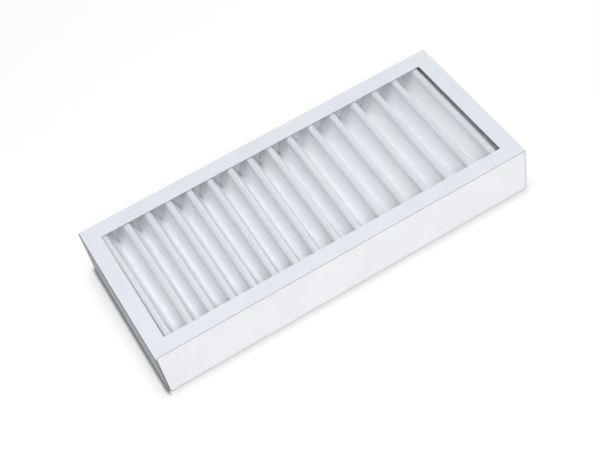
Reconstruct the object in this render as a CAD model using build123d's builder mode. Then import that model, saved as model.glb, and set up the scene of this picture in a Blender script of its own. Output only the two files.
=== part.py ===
from build123d import *
import os

# Pleated panel air filter: one folded sheet of nonwoven media, glued into a box of folded board.
# The box is two open trays, one pushed into the other, each with a rim round a window.
# Millimetres. X runs along the long side, Y across it, Z up through the pleats.
# The origin is the middle of the face that the filter rests on.

# ---- Driving dimensions ----

length = 320.0  # outside of the board frame
width = 141.0
depth = 46.0

board = 1.2  # white-lined grey board
rim_width = 14.0  # from the outside of the frame to the window
window_corner = 0.8  # radius of the die-cut window's corners
cut_rounding = 0.25  # the die rolls the window's edge over this far
score_cut = 0.5  # each fold is half cut on its outside, which opens to a square step
corner_slit = 0.3  # between a long wall's end and the end wall beside it
base_step = 3.0  # the outer walls stop this far above the base

glue = 0.6  # hot-melt film between the pleat pack and each wall

media = 1.8  # thickness of the nonwoven sheet
crest_inner_radius = 0.9  # the crests are soft folds, not pressed flat
valley_inner_radius = 0.3  # the valleys are closed by their neighbours
crest_run = 3.2  # upright stretch of a panel under its crest
open_depth = 22.8  # from the crests' tops down to where neighbouring panels meet
crest_bend = 10.0  # radius where a panel leaves its upright stretch under the crest
closing_bend = 1.5  # and where it meets the next one
crest_count = 16
close_pitches = 9  # pitches at the left that were packed closer than the rest
close_ratio = 0.9  # a close pitch over a wide one
first_crest_inset = 14.5  # from the left film of glue to the first crest
last_crest_inset = 15.6  # from the last crest to the right film of glue

# ---- Sizes that follow ----

window_length = length - 2 * rim_width
window_width = width - 2 * rim_width
inner_tray_length = length - 2 * board
inner_tray_width = width - 2 * board
cavity_length = inner_tray_length - 2 * board
cavity_width = inner_tray_width - 2 * board
cavity_height = depth - 2 * board

pack_length = cavity_length - 2 * glue
pack_width = cavity_width - 2 * glue
pack_bottom = board
pack_top = depth - board

crest_radius = crest_inner_radius + media / 2  # to the middle of the sheet
valley_radius = valley_inner_radius + media / 2
crest_level = pack_top - media / 2 - crest_radius  # centre of each fold's curve
valley_level = pack_bottom + media / 2 + valley_radius
closing_level = pack_top - open_depth  # below it each panel stands upright against the next one

base_plane = Plane.XY
top_plane = Plane(origin=(0, 0, depth), x_dir=(1, 0, 0), z_dir=(0, 0, -1))


# ---- The two trays ----


def folded_tray(rim_plane, tray_length, tray_width, tray_depth):
    """One die-cut blank: a rim in rim_plane and four walls folded along its normal.

    The end walls take the whole width, and the long walls stand between them.
    """
    with BuildPart() as tray:
        with BuildSketch(rim_plane):
            Rectangle(tray_length, tray_width)
        extrude(amount=board)
        with BuildSketch(rim_plane.offset(board)):
            with GridLocations(tray_length - board, 0, 2, 1):
                Rectangle(board, tray_width)
            with GridLocations(0, tray_width - board, 1, 2):
                Rectangle(tray_length - 2 * board - 2 * corner_slit, board)
        extrude(amount=tray_depth - board)

        # The window in the rim, with the outer side of its cut edge rolled over.
        with BuildSketch(rim_plane):
            RectangleRounded(window_length, window_width, window_corner)
        extrude(amount=board, mode=Mode.SUBTRACT)
        into_tray = Axis(rim_plane.origin, rim_plane.z_dir)
        window_edges = tray.edges(Select.LAST).group_by(into_tray)[0]
        fillet(window_edges, radius=cut_rounding)

        # The half cut along the four folds.
        with BuildSketch(rim_plane):
            Rectangle(tray_length, tray_width)
            Rectangle(tray_length - 2 * score_cut, tray_width - 2 * score_cut, mode=Mode.SUBTRACT)
        extrude(amount=score_cut, mode=Mode.SUBTRACT)
    return tray


# ---- The pleated media ----


def crest_positions():
    """X of each crest, left to right: close pitches first, then wide ones."""
    first = -pack_length / 2 + first_crest_inset
    last = pack_length / 2 - last_crest_inset
    wide_pitches = crest_count - 1 - close_pitches
    wide_pitch = (last - first) / (wide_pitches + close_pitches * close_ratio)
    close_pitch = wide_pitch * close_ratio
    positions = [first]
    for index in range(crest_count - 1):
        positions.append(positions[-1] + (close_pitch if index < close_pitches else wide_pitch))
    return positions


def rising_panel(valley, crest):
    """A pleat's left panel: closed against its neighbour, leaning out, then upright to the crest."""
    x, top_x = valley + valley_radius, crest - crest_radius
    FilletPolyline(
        (x, valley_level),
        (x, closing_level),
        (top_x, crest_level - crest_run),
        (top_x, crest_level),
        radius=[closing_bend, crest_bend],
    )


def falling_panel(crest, valley):
    """Its right panel, the other way round."""
    top_x, x = crest + crest_radius, valley - valley_radius
    FilletPolyline(
        (top_x, crest_level),
        (top_x, crest_level - crest_run),
        (x, closing_level),
        (x, valley_level),
        radius=[crest_bend, closing_bend],
    )


def crest_fold(x):
    CenterArc((x, crest_level), crest_radius, start_angle=180, arc_size=-180)


def valley_fold(x):
    CenterArc((x, valley_level), valley_radius, start_angle=180, arc_size=180)


def pack_line():
    """The middle of the folded sheet, from the left end panel to the right one."""
    left_panel = -pack_length / 2 + media / 2
    right_panel = pack_length / 2 - media / 2
    crests = crest_positions()
    inner_valleys = [(a + b) / 2 for a, b in zip(crests, crests[1:])]
    valleys = [left_panel + valley_radius] + inner_valleys + [right_panel - valley_radius]

    Line((left_panel, pack_top), (left_panel, valley_level))
    for valley, crest, next_valley in zip(valleys, crests, valleys[1:]):
        valley_fold(valley)
        rising_panel(valley, crest)
        crest_fold(crest)
        falling_panel(crest, next_valley)
    valley_fold(valleys[-1])
    Line((right_panel, valley_level), (right_panel, pack_top))


# ---- The glue ----


def glue_film(x, y, film_length, film_width):
    """Hot melt spread on one inner wall, which the ends of the pleats are bedded in."""
    with BuildPart() as film:
        with BuildSketch(Plane.XY.offset(pack_bottom)):
            with Locations((x, y)):
                Rectangle(film_length, film_width)
        extrude(amount=cavity_height)
    return film


# ---- Build and export ----


os.makedirs("parts", exist_ok=True)

outer_tray = folded_tray(top_plane, length, width, depth - base_step)
inner_tray = folded_tray(base_plane, inner_tray_length, inner_tray_width, depth - board)

with BuildPart() as pleated_media:
    with BuildSketch(Plane.XZ):
        with BuildLine():
            pack_line()
        trace(line_width=media)
    extrude(amount=pack_width / 2, both=True)

end_film_x = (pack_length + glue) / 2
side_film_y = (pack_width + glue) / 2
glue_left = glue_film(-end_film_x, 0, glue, pack_width)
glue_right = glue_film(end_film_x, 0, glue, pack_width)
glue_front = glue_film(0, -side_film_y, cavity_length, glue)
glue_back = glue_film(0, side_film_y, cavity_length, glue)

pieces = {
    "outer_tray": outer_tray,
    "inner_tray": inner_tray,
    "pleated_media": pleated_media,
    "glue_left": glue_left,
    "glue_right": glue_right,
    "glue_front": glue_front,
    "glue_back": glue_back,
}
for name, piece in pieces.items():
    piece.part.label = name
    export_step(piece.part, f"parts/{name}.step")
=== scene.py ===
import math

import bpy
from mathutils import Matrix, Vector, noise


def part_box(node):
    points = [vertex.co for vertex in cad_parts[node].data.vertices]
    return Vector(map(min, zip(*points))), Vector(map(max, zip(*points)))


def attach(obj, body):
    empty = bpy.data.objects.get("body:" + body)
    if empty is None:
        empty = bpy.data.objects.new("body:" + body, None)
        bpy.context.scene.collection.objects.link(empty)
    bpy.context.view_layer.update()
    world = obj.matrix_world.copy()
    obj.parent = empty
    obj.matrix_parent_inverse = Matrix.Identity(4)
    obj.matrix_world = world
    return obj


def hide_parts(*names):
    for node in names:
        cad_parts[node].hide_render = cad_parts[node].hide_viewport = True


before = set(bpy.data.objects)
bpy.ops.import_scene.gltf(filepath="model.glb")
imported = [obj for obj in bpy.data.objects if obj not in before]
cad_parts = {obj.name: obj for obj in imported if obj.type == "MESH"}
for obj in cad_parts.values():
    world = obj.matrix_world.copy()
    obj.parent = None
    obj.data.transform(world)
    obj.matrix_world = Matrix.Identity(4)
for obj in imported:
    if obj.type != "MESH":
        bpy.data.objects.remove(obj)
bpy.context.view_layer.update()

# Pleated panel air filter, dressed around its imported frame. Metres; Z is up.
# The two board trays and the films of glue are the frame's own solids with materials on them.
# The pleated media is made again as one sheet, softer and less even than its solid.

# ---- Sizes, from the frame where it has them ----

FRAME_LOW, FRAME_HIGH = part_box("outer_tray")
PACK_LOW, PACK_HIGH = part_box("pleated_media")

BOARD = 0.0012  # thickness of the white-lined board
RIM_WIDTH = 0.014  # from the outside of the frame to the window
SCORE_CUT = 0.0005  # the half cut along each fold
CUT_ROUNDING = 0.00025  # the die rolls the window's edge over this far
BASE_STEP = 0.003  # the outer tray's walls stop this far above the base

MEDIA = 0.0018  # thickness of the nonwoven sheet
CREST_COUNT = 16
CLOSE_PITCHES = 9  # pitches at the left that were packed closer than the rest
CLOSE_RATIO = 0.9  # a close pitch over a wide one
FIRST_CREST_INSET = 0.0145  # from the left film of glue to the first crest
LAST_CREST_INSET = 0.0156  # from the last crest to the right film of glue


# ---- Camera ----

CAMERA_PLACE = Vector((-0.2046, -0.5780, 0.7589))
CAMERA_TARGET = Vector((-0.0158, -0.0277, 0.0460))
CAMERA_ROLL = math.radians(-14.14)
CAMERA_LENS = 73.62  # millimetres
SENSOR_WIDTH = 36


def make_camera():
    data = bpy.data.cameras.new("camera")
    data.lens = CAMERA_LENS
    data.sensor_width = SENSOR_WIDTH
    camera = bpy.data.objects.new("camera", data)
    bpy.context.collection.objects.link(camera)
    aim = (CAMERA_TARGET - CAMERA_PLACE).to_track_quat("-Z", "Y").to_matrix().to_4x4()
    roll = Matrix.Rotation(CAMERA_ROLL, 4, "Z")
    camera.matrix_world = Matrix.Translation(CAMERA_PLACE) @ aim @ roll
    bpy.context.scene.camera = camera


# ---- Node helpers ----


def calc(nodes, links, operation, first, second=0.0):
    """A Math node. Each input is a number or another node's output."""
    node = nodes.new("ShaderNodeMath")
    node.operation = operation
    for socket, value in zip(node.inputs, (first, second)):
        if isinstance(value, (int, float)):
            socket.default_value = value
        else:
            links.new(value, socket)
    return node.outputs[0]


def ramp(nodes, links, value, start, end, low=0.0, high=1.0):
    """A smooth step from low where value is start to high where it is end."""
    node = nodes.new("ShaderNodeMapRange")
    node.interpolation_type = "SMOOTHSTEP"
    links.new(value, node.inputs["Value"])
    for name, number in (("From Min", start), ("From Max", end), ("To Min", low), ("To Max", high)):
        node.inputs[name].default_value = number
    return node.outputs["Result"]


def mixed(nodes, links, share, first, second):
    """A colour between first and second, each a colour or another node's output."""
    node = nodes.new("ShaderNodeMix")
    node.data_type = "RGBA"
    colours = [socket for socket in node.inputs if socket.type == "RGBA"]
    links.new(share, node.inputs[0])
    for socket, value in zip(colours, (first, second)):
        if isinstance(value, tuple):
            socket.default_value = value
        else:
            links.new(value, socket)
    return [socket for socket in node.outputs if socket.type == "RGBA"][0]


def dimmed(nodes, links, colour, share):
    """A colour with its brightness multiplied by share, which is a node's output."""
    node = nodes.new("ShaderNodeHueSaturation")
    links.new(colour, node.inputs["Color"])
    links.new(share, node.inputs["Value"])
    return node.outputs[0]


def object_place(nodes):
    return nodes.new("ShaderNodeTexCoord").outputs["Object"]


def object_axes(nodes, links):
    """The outputs X, Y and Z of a place in object space."""
    axes = nodes.new("ShaderNodeSeparateXYZ")
    links.new(object_place(nodes), axes.inputs[0])
    return axes.outputs


def grain(nodes, links, scale, detail=2.0, stretch=(1, 1, 1)):
    """Noise in object space, about 0.5 on average. Scale is in grains to the metre."""
    mapping = nodes.new("ShaderNodeMapping")
    mapping.inputs["Scale"].default_value = stretch
    links.new(object_place(nodes), mapping.inputs["Vector"])
    node = nodes.new("ShaderNodeTexNoise")
    node.inputs["Scale"].default_value = scale
    node.inputs["Detail"].default_value = detail
    links.new(mapping.outputs[0], node.inputs["Vector"])
    return node.outputs[0]


def occlusion(nodes, links, reach, depth):
    """1 in the open, and darker where something within reach hides the sky. Depth scales the effect."""
    node = nodes.new("ShaderNodeAmbientOcclusion")
    node.samples = OCCLUSION_RAYS
    node.inputs["Distance"].default_value = reach
    hidden = calc(nodes, links, "SUBTRACT", 1.0, node.outputs["AO"])
    shade = calc(nodes, links, "SUBTRACT", 1.0, calc(nodes, links, "MULTIPLY", hidden, depth))
    return calc(nodes, links, "MAXIMUM", shade, 0.0)


def either(nodes, links, share, first, second):
    """A shader between first and second. Share is a number or a node's output."""
    node = nodes.new("ShaderNodeMixShader")
    if isinstance(share, float):
        node.inputs[0].default_value = share
    else:
        links.new(share, node.inputs[0])
    links.new(first, node.inputs[1])
    links.new(second, node.inputs[2])
    return node.outputs[0]


def bumped(nodes, links, shader, height, distance, strength):
    """Raises the shader's surface by height times distance."""
    node = nodes.new("ShaderNodeBump")
    node.inputs["Strength"].default_value = strength
    node.inputs["Distance"].default_value = distance
    links.new(height, node.inputs["Height"])
    links.new(node.outputs[0], shader.inputs["Normal"])


def new_material(name):
    """A material, its nodes, its links and its Principled shader."""
    material = bpy.data.materials.new(name)
    material.use_nodes = True
    tree = material.node_tree
    return material, tree.nodes, tree.links, tree.nodes["Principled BSDF"]


# ---- Stage ----

FLOOR_SIZE = 8.0
FLOOR_GREY = (0.4, 0.4, 0.4, 1)  # what the object gets back from the floor
FLOOR_WHITE = 1.05  # what the camera sees
SHADOW_SHARE = 0.5  # how much of the lamps' own shadows the camera sees
OCCLUSION_RAYS = 16
CONTACT_REACH = 0.012  # the soft shadow close to the object
CONTACT_DEPTH = 0.35
END_SHADE_REACH = 0.0045  # the dark line under the left end, which faces away from the lamps
END_SHADE_DEPTH = 1.9
END_SHADE_NONE = FRAME_LOW.x + 0.001
END_SHADE_FULL = FRAME_LOW.x - 0.0005


def make_floor():
    """A grey floor that lights the object plainly, and that the camera sees as white with its shadow."""
    bpy.ops.mesh.primitive_plane_add(size=FLOOR_SIZE, location=(0, 0, 0))
    floor = bpy.context.object
    floor.name = "floor"
    material = bpy.data.materials.new("floor")
    material.use_nodes = True
    nodes, links = material.node_tree.nodes, material.node_tree.links
    nodes.clear()
    output = nodes.new("ShaderNodeOutputMaterial")
    path = nodes.new("ShaderNodeLightPath")
    plain = nodes.new("ShaderNodeBsdfDiffuse")
    plain.inputs["Color"].default_value = FLOOR_GREY

    # What the camera sees: white, partly shaded by the lamps, and darker close to the object.
    contact = occlusion(nodes, links, CONTACT_REACH, CONTACT_DEPTH)
    end_shade = occlusion(nodes, links, END_SHADE_REACH, END_SHADE_DEPTH)
    x = object_axes(nodes, links)["X"]
    away_from_end = ramp(nodes, links, x, END_SHADE_FULL, END_SHADE_NONE)
    end_shade = calc(nodes, links, "MAXIMUM", end_shade, away_from_end)
    shadow = calc(nodes, links, "MULTIPLY", contact, end_shade)
    shaded = nodes.new("ShaderNodeBsdfDiffuse")
    links.new(shadow, shaded.inputs["Color"])
    white = nodes.new("ShaderNodeEmission")
    links.new(calc(nodes, links, "MULTIPLY", shadow, FLOOR_WHITE), white.inputs["Strength"])
    seen = either(nodes, links, SHADOW_SHARE, white.outputs[0], shaded.outputs[0])
    surface = either(nodes, links, path.outputs["Is Camera Ray"], plain.outputs[0], seen)
    links.new(surface, output.inputs["Surface"])
    floor.data.materials.append(material)


AMBIENT = 0.35
AMBIENT_COLOUR = (0.93, 0.96, 1.0, 1)
BACKDROP_WHITE = (1, 1, 1, 1)


def make_world():
    """A faint bluish sky for the object, and plain white for the camera."""
    world = bpy.data.worlds.new("studio")
    bpy.context.scene.world = world
    world.use_nodes = True
    nodes, links = world.node_tree.nodes, world.node_tree.links
    nodes.clear()
    output = nodes.new("ShaderNodeOutputWorld")
    path = nodes.new("ShaderNodeLightPath")
    ambient = nodes.new("ShaderNodeBackground")
    ambient.inputs["Color"].default_value = AMBIENT_COLOUR
    ambient.inputs["Strength"].default_value = AMBIENT
    white = nodes.new("ShaderNodeBackground")
    white.inputs["Color"].default_value = BACKDROP_WHITE
    surface = either(nodes, links, path.outputs["Is Camera Ray"], ambient.outputs[0], white.outputs[0])
    links.new(surface, output.inputs["Surface"])


# ---- Lamps ----

LAMP_TARGET = Vector((0, 0, 0.03))
NEUTRAL = (1, 1, 1)
WARM = (1.0, 0.94, 0.845)
FAINTLY_WARM = (1.0, 0.96, 0.9)

# Name, place, size, watts and colour. The front, left and back ones stand low and light the walls.
LAMPS = (
    ("top", (0.0, 0.0, 1.5), (0.9, 0.9), 8.0, NEUTRAL),
    ("slant", (-0.2, -0.9, 1.1), (0.9, 0.7), 4.0, NEUTRAL),
    ("camera_side", (-0.35, -0.9, 1.2), (0.5, 0.5), 5.5, NEUTRAL),
    ("front", (0.25, -1.6, 0.05), (1.2, 0.1), 13.0, WARM),
    ("left", (-1.5, -0.3, 0.1), (0.5, 0.2), 1.0, NEUTRAL),
    ("back", (0.95, 1.3, 0.2), (1.2, 0.3), 11.0, FAINTLY_WARM),
)


def make_lamps():
    for name, place, size, power, colour in LAMPS:
        data = bpy.data.lights.new(name, "AREA")
        data.shape = "RECTANGLE"
        data.size, data.size_y = size
        data.energy = power
        data.color = colour
        lamp = bpy.data.objects.new(name, data)
        bpy.context.collection.objects.link(lamp)
        lamp.location = place
        lamp.rotation_euler = (LAMP_TARGET - Vector(place)).to_track_quat("-Z", "Y").to_euler()


# ---- Pleated media: its section ----

CREST_INNER_RADIUS = 0.0012
VALLEY_INNER_RADIUS = 0.00001  # the valleys are pressed shut
RISE_LEAN_DEPTH = 0.0059  # a crest's left panel is upright down to here, and leans out below it
FALL_LEAN_DEPTH = 0.0042  # and its right panel
RISE_BEND = 0.010  # radius where it starts to lean
FALL_BEND = 0.006
CLOSE_DEPTH = 0.0228  # where neighbouring panels meet
CLOSE_BEND = 0.0015
LAST_CLOSE_DEPTH = 0.0150  # the last panel meets the end one higher up
LAST_BEND = 0.0030

CREST_RADIUS = CREST_INNER_RADIUS + MEDIA / 2  # to the middle of the sheet
VALLEY_RADIUS = VALLEY_INNER_RADIUS + MEDIA / 2
CREST_Z = PACK_HIGH.z - MEDIA / 2 - CREST_RADIUS  # centre of each fold's curve
VALLEY_Z = PACK_LOW.z + MEDIA / 2 + VALLEY_RADIUS
RISE_Z = PACK_HIGH.z - RISE_LEAN_DEPTH
FALL_Z = PACK_HIGH.z - FALL_LEAN_DEPTH
CLOSE_Z = PACK_HIGH.z - CLOSE_DEPTH
LAST_CLOSE_Z = PACK_HIGH.z - LAST_CLOSE_DEPTH

FOLD_STEPS = 8
FEWEST_BEND_STEPS = 4
BEND_STEP = 0.0012  # between points on a bend
RUN_STEP = 0.0030  # and on a straight run


def crest_places():
    """X of each crest at the middle of the pack, as the frame's source spaces them."""
    first = PACK_LOW.x + FIRST_CREST_INSET
    last = PACK_HIGH.x - LAST_CREST_INSET
    wide_pitches = CREST_COUNT - 1 - CLOSE_PITCHES
    wide = (last - first) / (wide_pitches + CLOSE_PITCHES * CLOSE_RATIO)
    places = [first]
    for index in range(CREST_COUNT - 1):
        places.append(places[-1] + (wide * CLOSE_RATIO if index < CLOSE_PITCHES else wide))
    return places


def valley_places():
    """X of each valley's middle, the end ones against the end panels."""
    crests = crest_places()
    middles = [(a + b) / 2 for a, b in zip(crests, crests[1:])]
    end = MEDIA / 2 + VALLEY_RADIUS
    return [PACK_LOW.x + end] + middles + [PACK_HIGH.x - end]


def fold(x, z, radius, up):
    """Points round a fold from left to right: a crest where up is 1, a valley where it is -1."""
    angles = [math.pi * (1 - i / FOLD_STEPS) for i in range(FOLD_STEPS + 1)]
    return [(x + radius * math.cos(angle), z + up * radius * math.sin(angle)) for angle in angles]


def rounded(corners, radii):
    """Points along a path with each inner corner rounded to its radius. The path's ends are left out."""
    points = []
    for before, corner, after, radius in zip(corners, corners[1:], corners[2:], radii):
        into = (Vector(corner) - Vector(before)).normalized()
        out = (Vector(after) - Vector(corner)).normalized()
        turn = into.angle_signed(out)  # clockwise is positive
        start = Vector(corner) - into * radius * math.tan(abs(turn) / 2)
        side = Vector((into.y, -into.x)) if turn > 0 else Vector((-into.y, into.x))
        centre = start + side * radius
        steps = max(FEWEST_BEND_STEPS, int(radius * abs(turn) / BEND_STEP) + 1)
        for i in range(steps + 1):
            spoke = Matrix.Rotation(-turn * i / steps, 2) @ (start - centre)
            points.append(tuple(centre + spoke))
    return points


def divided(points):
    """The same path with its long straight runs cut into steps."""
    made = [points[0]]
    for start, end in zip(points, points[1:]):
        steps = max(1, int(math.dist(start, end) / RUN_STEP))
        for i in range(1, steps + 1):
            share = i / steps
            made.append((start[0] + (end[0] - start[0]) * share, start[1] + (end[1] - start[1]) * share))
    return made


def section():
    """The middle of the sheet: a list of (x, z), from the left end panel to the right one."""
    crests, valleys = crest_places(), valley_places()
    points = [(PACK_LOW.x + MEDIA / 2, PACK_HIGH.z)]
    for valley, crest, next_valley in zip(valleys, crests, valleys[1:]):
        low, high = valley + VALLEY_RADIUS, crest - CREST_RADIUS
        rise = [(low, VALLEY_Z), (low, CLOSE_Z), (high, RISE_Z), (high, CREST_Z)]
        points += fold(valley, VALLEY_Z, VALLEY_RADIUS, -1)
        points += rounded(rise, [CLOSE_BEND, RISE_BEND])

        meet_z, bend = (LAST_CLOSE_Z, LAST_BEND) if crest == crests[-1] else (CLOSE_Z, FALL_BEND)
        high, low = crest + CREST_RADIUS, next_valley - VALLEY_RADIUS
        fall = [(high, CREST_Z), (high, FALL_Z), (low, meet_z), (low, VALLEY_Z)]
        points += fold(crest, CREST_Z, CREST_RADIUS, 1)
        points += rounded(fall, [bend, CLOSE_BEND])
    points += fold(valleys[-1], VALLEY_Z, VALLEY_RADIUS, -1)
    points.append((PACK_HIGH.x - MEDIA / 2, PACK_HIGH.z))
    return divided(points)


def both_sides(points):
    """The sheet's upper and lower sides in section, half a thickness each side of its middle."""
    upper, lower = [], []
    for i, (x, z) in enumerate(points):
        before, after = points[max(i - 1, 0)], points[min(i + 1, len(points) - 1)]
        dx, dz = after[0] - before[0], after[1] - before[1]
        length = math.hypot(dx, dz)
        nx, nz = -dz / length * MEDIA / 2, dx / length * MEDIA / 2
        upper.append((x + nx, z + nz))
        lower.append((x - nx, z - nz))
    return upper, lower


# ---- Pleated media: what makes it uneven ----

CREASE_HALF = 0.0004  # loose fibres bridge a crease where it is narrower than this each side
CREASE_SAG = 0.0004  # how far the bridge hangs
CREASE_TOP = 0.004  # no crease begins higher than this above where its panels meet
SLIT_FROM = 0.062  # behind this y the creases stay open
SLIT_FADE = 0.002
SLIT_X = (-0.03, 0.03)  # at the left only: from the first x to the second they close

MIDDLE_SLANT = 0.028  # the middle crests run this much to the right for each unit towards the back
SLANT_CRESTS = (6, 3)  # crests over which the slant grows at the left, and fades at the right
FIRST_CREST_LEAN = 0.0010  # the first crest is pushed against the rim's edge
FIRST_CREST_SLANT = 0.012
STRAY = 0.0004  # how far each crest wanders besides
STRAY_WAVES = 14  # to the metre
STRAY_LEVEL = 1.7  # the plane of the noise that the wandering is read from
STRAY_SPACING = 7.3  # and how far apart the crests are in it
SAG = 0.0005  # the crests stand up to this much below the rim
SAG_WAVES = (55, 16)  # to the metre, along x and y
SAG_LEVEL = 4.1


def smooth(t):
    """A smooth step from 0 where t is 0 to 1 where it is 1."""
    t = min(max(t, 0.0), 1.0)
    return t * t * (3 - 2 * t)


def crest_stray(index, y):
    """How far the glue let a crest stray sideways: the middle ones slant to the right at the back."""
    grown = smooth((index - 1) / SLANT_CRESTS[0])
    left = smooth((CREST_COUNT - index) / SLANT_CRESTS[1])
    wander = STRAY * noise.noise((index * STRAY_SPACING, y * STRAY_WAVES, STRAY_LEVEL))
    strays = MIDDLE_SLANT * grown * left * y + wander
    if index == 0:
        strays -= FIRST_CREST_LEAN + FIRST_CREST_SLANT * y
    return strays


def stray(x, y, crests):
    """The same at any x: it fades between the crests, and is nothing at the two end panels."""
    places = [PACK_LOW.x + MEDIA] + crests + [PACK_HIGH.x - MEDIA]
    strays = [0] + [crest_stray(index, y) for index in range(len(crests))] + [0]
    for i in range(len(places) - 1):
        if x <= places[i + 1]:
            share = max(0, (x - places[i]) / (places[i + 1] - places[i]))
            return strays[i] + (strays[i + 1] - strays[i]) * share
    return 0


def sag(x, y, z):
    """How far a point hangs below its place: most at the crests, and nothing at the pack's bottom."""
    height = smooth((z - PACK_LOW.z) / (PACK_HIGH.z - PACK_LOW.z))
    wave = noise.noise((x * SAG_WAVES[0], y * SAG_WAVES[1], SAG_LEVEL))
    return SAG * height * (0.5 + 0.5 * wave)


def bridged(upper):
    """The upper side with each narrow crease spanned by a shallow curve instead."""
    made = list(upper)
    valleys = valley_places()
    for valley in valleys:
        highest = (LAST_CLOSE_Z if valley == valleys[-1] else CLOSE_Z) + CREASE_TOP
        inside = [i for i, (x, z) in enumerate(upper) if abs(x - valley) < CREASE_HALF and z < highest]
        first, last = inside[0] - 1, inside[-1] + 1
        (x0, z0), (x1, z1) = upper[first], upper[last]
        for i in inside:
            share = (i - first) / (last - first)
            drop = CREASE_SAG * 4 * share * (1 - share)
            made[i] = (x0 + (x1 - x0) * share, z0 + (z1 - z0) * share - drop)
    return made


def slit_share(x, y):
    """1 where a crease is open, 0 where it is bridged."""
    at_wall = smooth((y - SLIT_FROM) / SLIT_FADE)
    return at_wall * smooth((SLIT_X[1] - x) / (SLIT_X[1] - SLIT_X[0]))


# ---- Pleated media: the sheet ----

ROWS = 46  # outlines of the sheet, from front to back


def outline_rows(line):
    """Each row's ring of points: along the upper side of the sheet and back along the lower one."""
    open_side, lower = both_sides(line)
    closed_side = bridged(open_side)
    crests = crest_places()
    rows = []
    for row in range(ROWS):
        y = PACK_LOW.y + (PACK_HIGH.y - PACK_LOW.y) * row / (ROWS - 1)
        upper = []
        for (x0, z0), (x1, z1) in zip(closed_side, open_side):
            share = slit_share(x1, y)
            upper.append((x0 + (x1 - x0) * share, z0 + (z1 - z0) * share))
        sides = upper + lower[::-1]
        rows.append([(x + stray(x, y, crests), y, z - sag(x, y, z)) for x, z in sides])
    return rows


def sheet_faces(count):
    """Faces from each ring of count points to the next, and a strip that closes each end."""
    faces = []
    for row in range(ROWS - 1):
        near, far = row * count, (row + 1) * count
        for i in range(count):
            j = (i + 1) % count
            faces.append((near + i, near + j, far + j, far + i))
    for start, flip in ((0, True), ((ROWS - 1) * count, False)):
        for i in range(count // 2 - 1):
            cap = (start + i, start + count - 1 - i, start + count - 2 - i, start + i + 1)
            faces.append(cap[::-1] if flip else cap)
    return faces


def make_media():
    line = section()
    rows = outline_rows(line)
    vertices = [point for ring in rows for point in ring]
    mesh = bpy.data.meshes.new("media_sheet")
    mesh.from_pydata(vertices, [], sheet_faces(len(rows[0])))
    mesh.validate()
    mesh.update()
    for polygon in mesh.polygons:
        polygon.use_smooth = True
    media = bpy.data.objects.new("media_sheet", mesh)
    bpy.context.collection.objects.link(media)
    media.data.materials.append(media_material())
    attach(media, "root")
    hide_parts("pleated_media")


# ---- Materials: each noise scale is in grains to the metre ----

MEDIA_WHITE = (0.9, 0.935, 0.968, 1)
MEDIA_GREEN = (0.892, 0.943, 0.955, 1)  # the faint tints of a web that varies in thickness
MEDIA_ROSE = (0.912, 0.932, 0.963, 1)
GREEN_NOISE = (0.52, 0.66)  # from none of the tint to all of it
ROSE_NOISE = (0.46, 0.34)
PATCHES = 38
PATCH_STRETCH = (1, 0.5, 1)
CREST_SHADED_COLOUR = (0.71, 0.745, 0.782, 1)  # painted shade: the crest tops are made duller, evening them with the panels below that take less light
CREST_SHADE_DEPTH = 0.006
CLUMPS = 260  # a few millimetres across
CLUMP_SHARE = 0.6
FIBRES = 1500  # well under one
FIBRE_SHARE = 0.4
FIBRE_STRETCH = (1, 0.3, 1)
WEB_SHADE = 0.96  # of the web's thin spots
WEB_NOISE = (0.3, 0.7)  # from its thin spots to its thick ones
WEB_ROUGHNESS = (0.85, 1.0)
WEB_RELIEF = 0.0004
WEB_BUMP = 0.5
CREASE_SHADE = 0.96  # painted shade: the web is made a little darker in the creases
CREASE_FADE = (0.0040, 0.0022)  # heights above CLOSE_Z, from none of that to all of it
SCATTER = 0.005  # how far light spreads inside the web


def media_material():
    """Nonwoven: a soft white web, unevenly thick, with fine fibres lying every way."""
    material, nodes, links, shader = new_material("nonwoven")
    z = object_axes(nodes, links)["Z"]
    patches = grain(nodes, links, PATCHES, 2, PATCH_STRETCH)
    green = ramp(nodes, links, patches, *GREEN_NOISE)
    rose = ramp(nodes, links, patches, *ROSE_NOISE)
    tint = mixed(nodes, links, green, MEDIA_WHITE, MEDIA_GREEN)
    tint = mixed(nodes, links, rose, tint, MEDIA_ROSE)
    # Painted shade: the web darkens towards the crest tops.
    crest = ramp(nodes, links, z, PACK_HIGH.z - CREST_SHADE_DEPTH, PACK_HIGH.z)
    colour = mixed(nodes, links, crest, tint, CREST_SHADED_COLOUR)

    clumps = grain(nodes, links, CLUMPS, 3)
    fibres = grain(nodes, links, FIBRES, 3, FIBRE_STRETCH)
    clump_part = calc(nodes, links, "MULTIPLY", clumps, CLUMP_SHARE)
    fibre_part = calc(nodes, links, "MULTIPLY", fibres, FIBRE_SHARE)
    web = calc(nodes, links, "ADD", clump_part, fibre_part)
    thin = ramp(nodes, links, web, *WEB_NOISE, WEB_SHADE, 1.0)
    # Painted shade: the web darkens in the creases.
    crease = ramp(nodes, links, z, CLOSE_Z + CREASE_FADE[0], CLOSE_Z + CREASE_FADE[1], 1.0, CREASE_SHADE)
    shade = calc(nodes, links, "MULTIPLY", thin, crease)
    links.new(dimmed(nodes, links, colour, shade), shader.inputs["Base Color"])
    links.new(ramp(nodes, links, fibres, *WEB_NOISE, *WEB_ROUGHNESS), shader.inputs["Roughness"])
    shader.inputs["Specular IOR Level"].default_value = 0.0
    shader.inputs["Subsurface Weight"].default_value = 1.0
    shader.inputs["Subsurface Radius"].default_value = (1, 1, 1)
    shader.inputs["Subsurface Scale"].default_value = SCATTER
    bumped(nodes, links, shader, web, WEB_RELIEF, WEB_BUMP)
    return material


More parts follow.
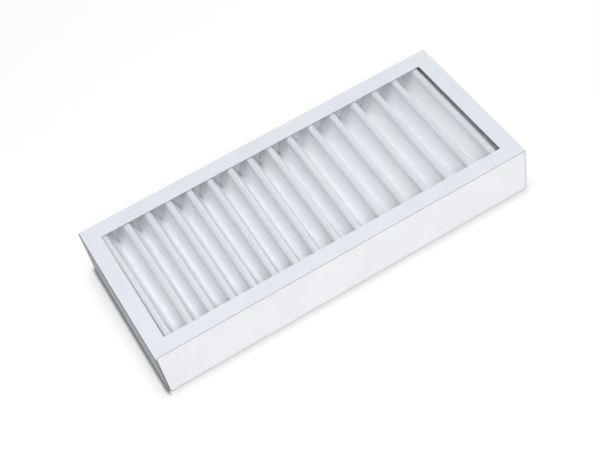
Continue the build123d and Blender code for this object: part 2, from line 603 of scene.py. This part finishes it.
BOARD_WHITE = (0.755, 0.785, 0.835, 1)  # the coated lining
BOARD_CLOUD = (0.735, 0.755, 0.815, 1)  # where the coating is thinner
CLOUDS = 28
CLOUD_NOISE = (0.35, 0.65)
LINING_FIBRES = 1600
LINING_STRETCH = (1, 0.35, 1)
LINING_FIBRE_SHADE = 0.05
LINING_SWELLS = 60
LINING_FIBRE_RELIEF = 0.15
BASE_SHADE = 0.93  # painted shade: the foot of the inner tray, in the recess under the outer walls, is made darker
BASE_FADE = (BASE_STEP + 0.0004, BASE_STEP - 0.0002)  # heights from none of that to all of it
CORE_GREY = (0.20, 0.20, 0.197, 1)  # the grey pulp that the cut edges show
CORE_LIGHT = (0.25, 0.248, 0.242, 1)
PULP_SPECKS = 900
PULP_CRUMBS = 2200
PULP_RELIEF = 0.6
WINDOW_CUT_SHOWN = 0.45  # a sharp die smears the lining over the cut
CORNER_CUT_SHOWN = 0.15  # painted light: the right end walls' cut sides, which get more light, show only this much of the grey core; the left ones show all of it
GLOSS_PATCHES = 90
SMOOTHEST_BOARD = 0.5  # roughness
GLOSS_SPREAD = 0.12
PULP_ROUGHNESS = 0.95
BOARD_SPECULAR = 0.35
BOARD_RELIEF = 0.0002
BOARD_BUMP = 0.35
HAIR = 0.00002  # a margin for telling a face from its neighbours by where it lies


def cut_faces(nodes, links, tray, rim_z, rising):
    """How much of the grey core shows: 1 on the faces that a die has cut, and on the left fold's step as
    painted shade; 0 on the lined ones. The right end walls' cut sides show less of it, as painted light.
    """
    low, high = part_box(tray)
    half_x, half_y, depth = high.x, high.y, high.z - low.z

    def do(operation, first, second=0.0):
        return calc(nodes, links, operation, first, second)

    x, y, z = object_axes(nodes, links)
    across_x, across_y = do("ABSOLUTE", x), do("ABSOLUTE", y)
    from_rim = do("MULTIPLY", do("SUBTRACT", z, rim_z), rising)
    at_left = do("LESS_THAN", x, 0.0)

    # The half cuts: their risers are core, and the left fold's step is painted core grey too, as painted
    # shade on the side away from the lamps.
    outside_x = do("GREATER_THAN", across_x, half_x - SCORE_CUT - HAIR)
    outside_y = do("GREATER_THAN", across_y, half_y - SCORE_CUT - HAIR)
    riser = do("LESS_THAN", from_rim, SCORE_CUT - HAIR)
    riser = do("MULTIPLY", do("MAXIMUM", outside_x, outside_y), riser)
    step = do("LESS_THAN", from_rim, SCORE_CUT + HAIR)
    left_step_shade = do("MULTIPLY", do("MULTIPLY", outside_x, at_left), step)

    # The window's cut edge, below the rounding that the die rolled over.
    window_x = do("LESS_THAN", across_x, FRAME_HIGH.x - RIM_WIDTH + HAIR)
    window_y = do("LESS_THAN", across_y, FRAME_HIGH.y - RIM_WIDTH + HAIR)
    window = do("MULTIPLY", window_x, window_y)
    window = do("MULTIPLY", window, do("GREATER_THAN", from_rim, CUT_ROUNDING))
    window = do("MULTIPLY", window, WINDOW_CUT_SHOWN)

    # The end walls' cut sides, beside the long walls, and the walls' cut lower edges.
    end_wall = do("GREATER_THAN", across_x, half_x - BOARD - HAIR)
    side_face = do("GREATER_THAN", across_y, half_y - HAIR)
    # Painted light: the right cut sides show little of the core, the left ones all of it.
    shown = do("ADD", do("MULTIPLY", at_left, 1 - CORNER_CUT_SHOWN), CORNER_CUT_SHOWN)
    end_cut = do("MULTIPLY", do("MULTIPLY", end_wall, side_face), shown)
    lower_edge = do("GREATER_THAN", from_rim, depth - HAIR)

    core = riser
    for cut in (left_step_shade, window, end_cut, lower_edge):
        core = do("MAXIMUM", core, cut)
    return core


def board_material(name, tray, rim_z, rising):
    """White-lined grey board: coated white faces, and the grey core wherever the die has cut it. Painted
    shade darkens the inner tray's foot and the left fold's step; painted light pales the right cut sides.

    rim_z is the outside of the tray's rim, and rising is 1 where its walls rise from it, -1 where they hang.
    """
    material, nodes, links, shader = new_material(name)
    core = cut_faces(nodes, links, tray, rim_z, rising)

    def do(operation, first, second):
        return calc(nodes, links, operation, first, second)

    # The coating: soft clouds and a fine fibre.
    z = object_axes(nodes, links)["Z"]
    clouds = ramp(nodes, links, grain(nodes, links, CLOUDS, 3), *CLOUD_NOISE)
    fibres = grain(nodes, links, LINING_FIBRES, 2, LINING_STRETCH)
    lining = mixed(nodes, links, clouds, BOARD_WHITE, BOARD_CLOUD)
    # Painted shade: darker at the foot, in the recess under the outer walls.
    foot_shade = ramp(nodes, links, z, *BASE_FADE, 1.0, BASE_SHADE)
    fibre_shade = do("MULTIPLY", fibres, LINING_FIBRE_SHADE)
    fibre_shade = do("ADD", fibre_shade, 1 - LINING_FIBRE_SHADE / 2)
    faces = dimmed(nodes, links, lining, do("MULTIPLY", foot_shade, fibre_shade))
    pulp = mixed(nodes, links, grain(nodes, links, PULP_SPECKS, 3), CORE_GREY, CORE_LIGHT)
    links.new(mixed(nodes, links, core, faces, pulp), shader.inputs["Base Color"])

    # A coated board is nearly matt; its cut edges are rough.
    gloss = do("MULTIPLY", grain(nodes, links, GLOSS_PATCHES, 2), GLOSS_SPREAD)
    gloss = do("ADD", gloss, SMOOTHEST_BOARD)
    links.new(do("MAXIMUM", gloss, do("MULTIPLY", core, PULP_ROUGHNESS)), shader.inputs["Roughness"])
    shader.inputs["Specular IOR Level"].default_value = BOARD_SPECULAR
    height = do("MULTIPLY", fibres, LINING_FIBRE_RELIEF)
    height = do("ADD", height, grain(nodes, links, LINING_SWELLS, 1))
    crumbs = do("MULTIPLY", core, grain(nodes, links, PULP_CRUMBS, 2))
    height = do("ADD", height, do("MULTIPLY", crumbs, PULP_RELIEF))
    bumped(nodes, links, shader, height, BOARD_RELIEF, BOARD_BUMP)
    return material


GLUE_PALE = (0.76, 0.775, 0.79, 1)
GLUE_DEEP = (0.53, 0.545, 0.565, 1)
GLUE_STREAKS = 45
GLUE_STRETCH = (1, 1, 0.5)
GLUE_SPREAD = (-0.25, 0.3)  # added to the share of the pale colour at the left end, and at the middle
GLUE_FRONT_PALE = 0.8  # added to it at the front film
GLUE_FRONT_Y = (0.0, -0.05)  # from none of that to all of it
GLUE_PATCHES = 160
GLUE_PATCH_NOISE = (0.3, 0.7)
GLUE_ROUGHNESS = (0.35, 0.6)
GLUE_SPECULAR = 0.35
GLUE_LUMPS = 350
GLUE_RELIEF = 0.0006
GLUE_BUMP = 0.5


def glue_material():
    """Milky hot melt, pressed out unevenly, with the pale fibres that it has wetted showing through."""
    material, nodes, links, shader = new_material("hot_melt")
    streaks = grain(nodes, links, GLUE_STREAKS, 3, GLUE_STRETCH)
    axes = object_axes(nodes, links)
    darker_to_left = ramp(nodes, links, axes["X"], PACK_LOW.x, 0.0, *GLUE_SPREAD)  # darker towards the left end
    front = ramp(nodes, links, axes["Y"], *GLUE_FRONT_Y, 0.0, GLUE_FRONT_PALE)
    share = calc(nodes, links, "ADD", calc(nodes, links, "ADD", streaks, darker_to_left), front)
    links.new(mixed(nodes, links, share, GLUE_DEEP, GLUE_PALE), shader.inputs["Base Color"])
    patches = grain(nodes, links, GLUE_PATCHES, 2)
    links.new(ramp(nodes, links, patches, *GLUE_PATCH_NOISE, *GLUE_ROUGHNESS), shader.inputs["Roughness"])
    shader.inputs["Specular IOR Level"].default_value = GLUE_SPECULAR
    height = calc(nodes, links, "ADD", streaks, grain(nodes, links, GLUE_LUMPS, 2))
    bumped(nodes, links, shader, height, GLUE_RELIEF, GLUE_BUMP)
    return material


def dress(node, material):
    """Puts a material on one of the frame's own nodes."""
    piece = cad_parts[node]
    piece.data.materials.clear()
    piece.data.materials.append(material)


# ---- The scene ----

make_camera()
make_floor()
make_world()
make_lamps()
make_media()
dress("outer_tray", board_material("outer_board", "outer_tray", FRAME_HIGH.z, -1))
dress("inner_tray", board_material("inner_board", "inner_tray", 0.0, 1))
glue = glue_material()
for name in ("glue_left", "glue_right", "glue_front", "glue_back"):
    dress(name, glue)

bpy.context.scene.view_settings.view_transform = "Standard"
